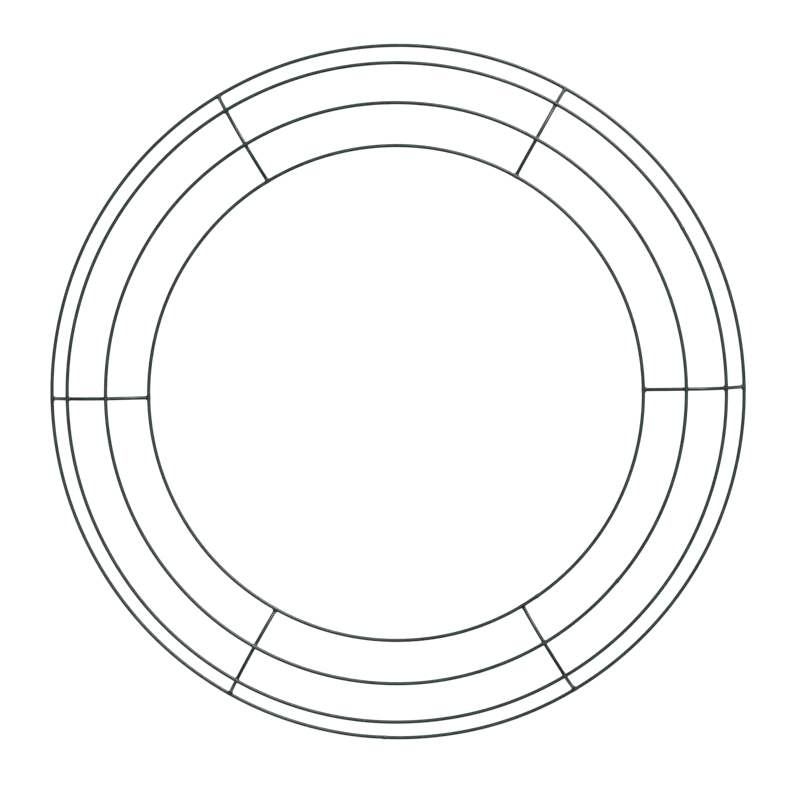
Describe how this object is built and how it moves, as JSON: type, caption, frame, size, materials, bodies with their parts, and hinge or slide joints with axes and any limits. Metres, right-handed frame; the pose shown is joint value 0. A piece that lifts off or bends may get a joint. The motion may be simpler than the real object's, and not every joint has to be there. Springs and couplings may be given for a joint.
{
  "type": "raised wire wreath frame",
  "caption": "Raised round wire wreath frame: concentric coated wire rings welded over arched cross braces, open in the middle.",
  "frame": {"origin": "on the ring axis, at the surface that the outer ring lies on", "axes": "+Z is the ring axis, from the hollow side that lies on the surface towards the crown of the arch; +X runs out along brace 1"},
  "size_m": [0.3556, 0.3556, 0.0283],
  "materials": {
    "wire_coating": "dark green enamel dip coat over mild steel wire, satin gloss",
    "weld_coating": "the same dark green enamel pooled round spot and butt welds, slightly rougher"
  },
  "bodies": {
    "root": {"brace_1": "wire_coating", "brace_2": "wire_coating", "brace_3": "wire_coating", "brace_4": "wire_coating", "brace_5": "wire_coating", "brace_6": "wire_coating", "butt_weld_inner": "weld_coating", "butt_weld_outer": "weld_coating", "butt_weld_second": "weld_coating", "butt_weld_third": "weld_coating", "inner_ring": "wire_coating", "outer_ring": "wire_coating", "second_ring": "wire_coating", "third_ring": "wire_coating", "weld_inner_1": "weld_coating", "weld_inner_2": "weld_coating", "weld_inner_3": "weld_coating", "weld_inner_4": "weld_coating", "weld_inner_5": "weld_coating", "weld_inner_6": "weld_coating", "weld_outer_1": "weld_coating", "weld_outer_2": "weld_coating", "weld_outer_3": "weld_coating", "weld_outer_4": "weld_coating", "weld_outer_5": "weld_coating", "weld_outer_6": "weld_coating", "weld_second_1": "weld_coating", "weld_second_2": "weld_coating", "weld_second_3": "weld_coating", "weld_second_4": "weld_coating", "weld_second_5": "weld_coating", "weld_second_6": "weld_coating", "weld_third_1": "weld_coating", "weld_third_2": "weld_coating", "weld_third_3": "weld_coating", "weld_third_4": "weld_coating", "weld_third_5": "weld_coating", "weld_third_6": "weld_coating"}
  },
  "joints": []
}
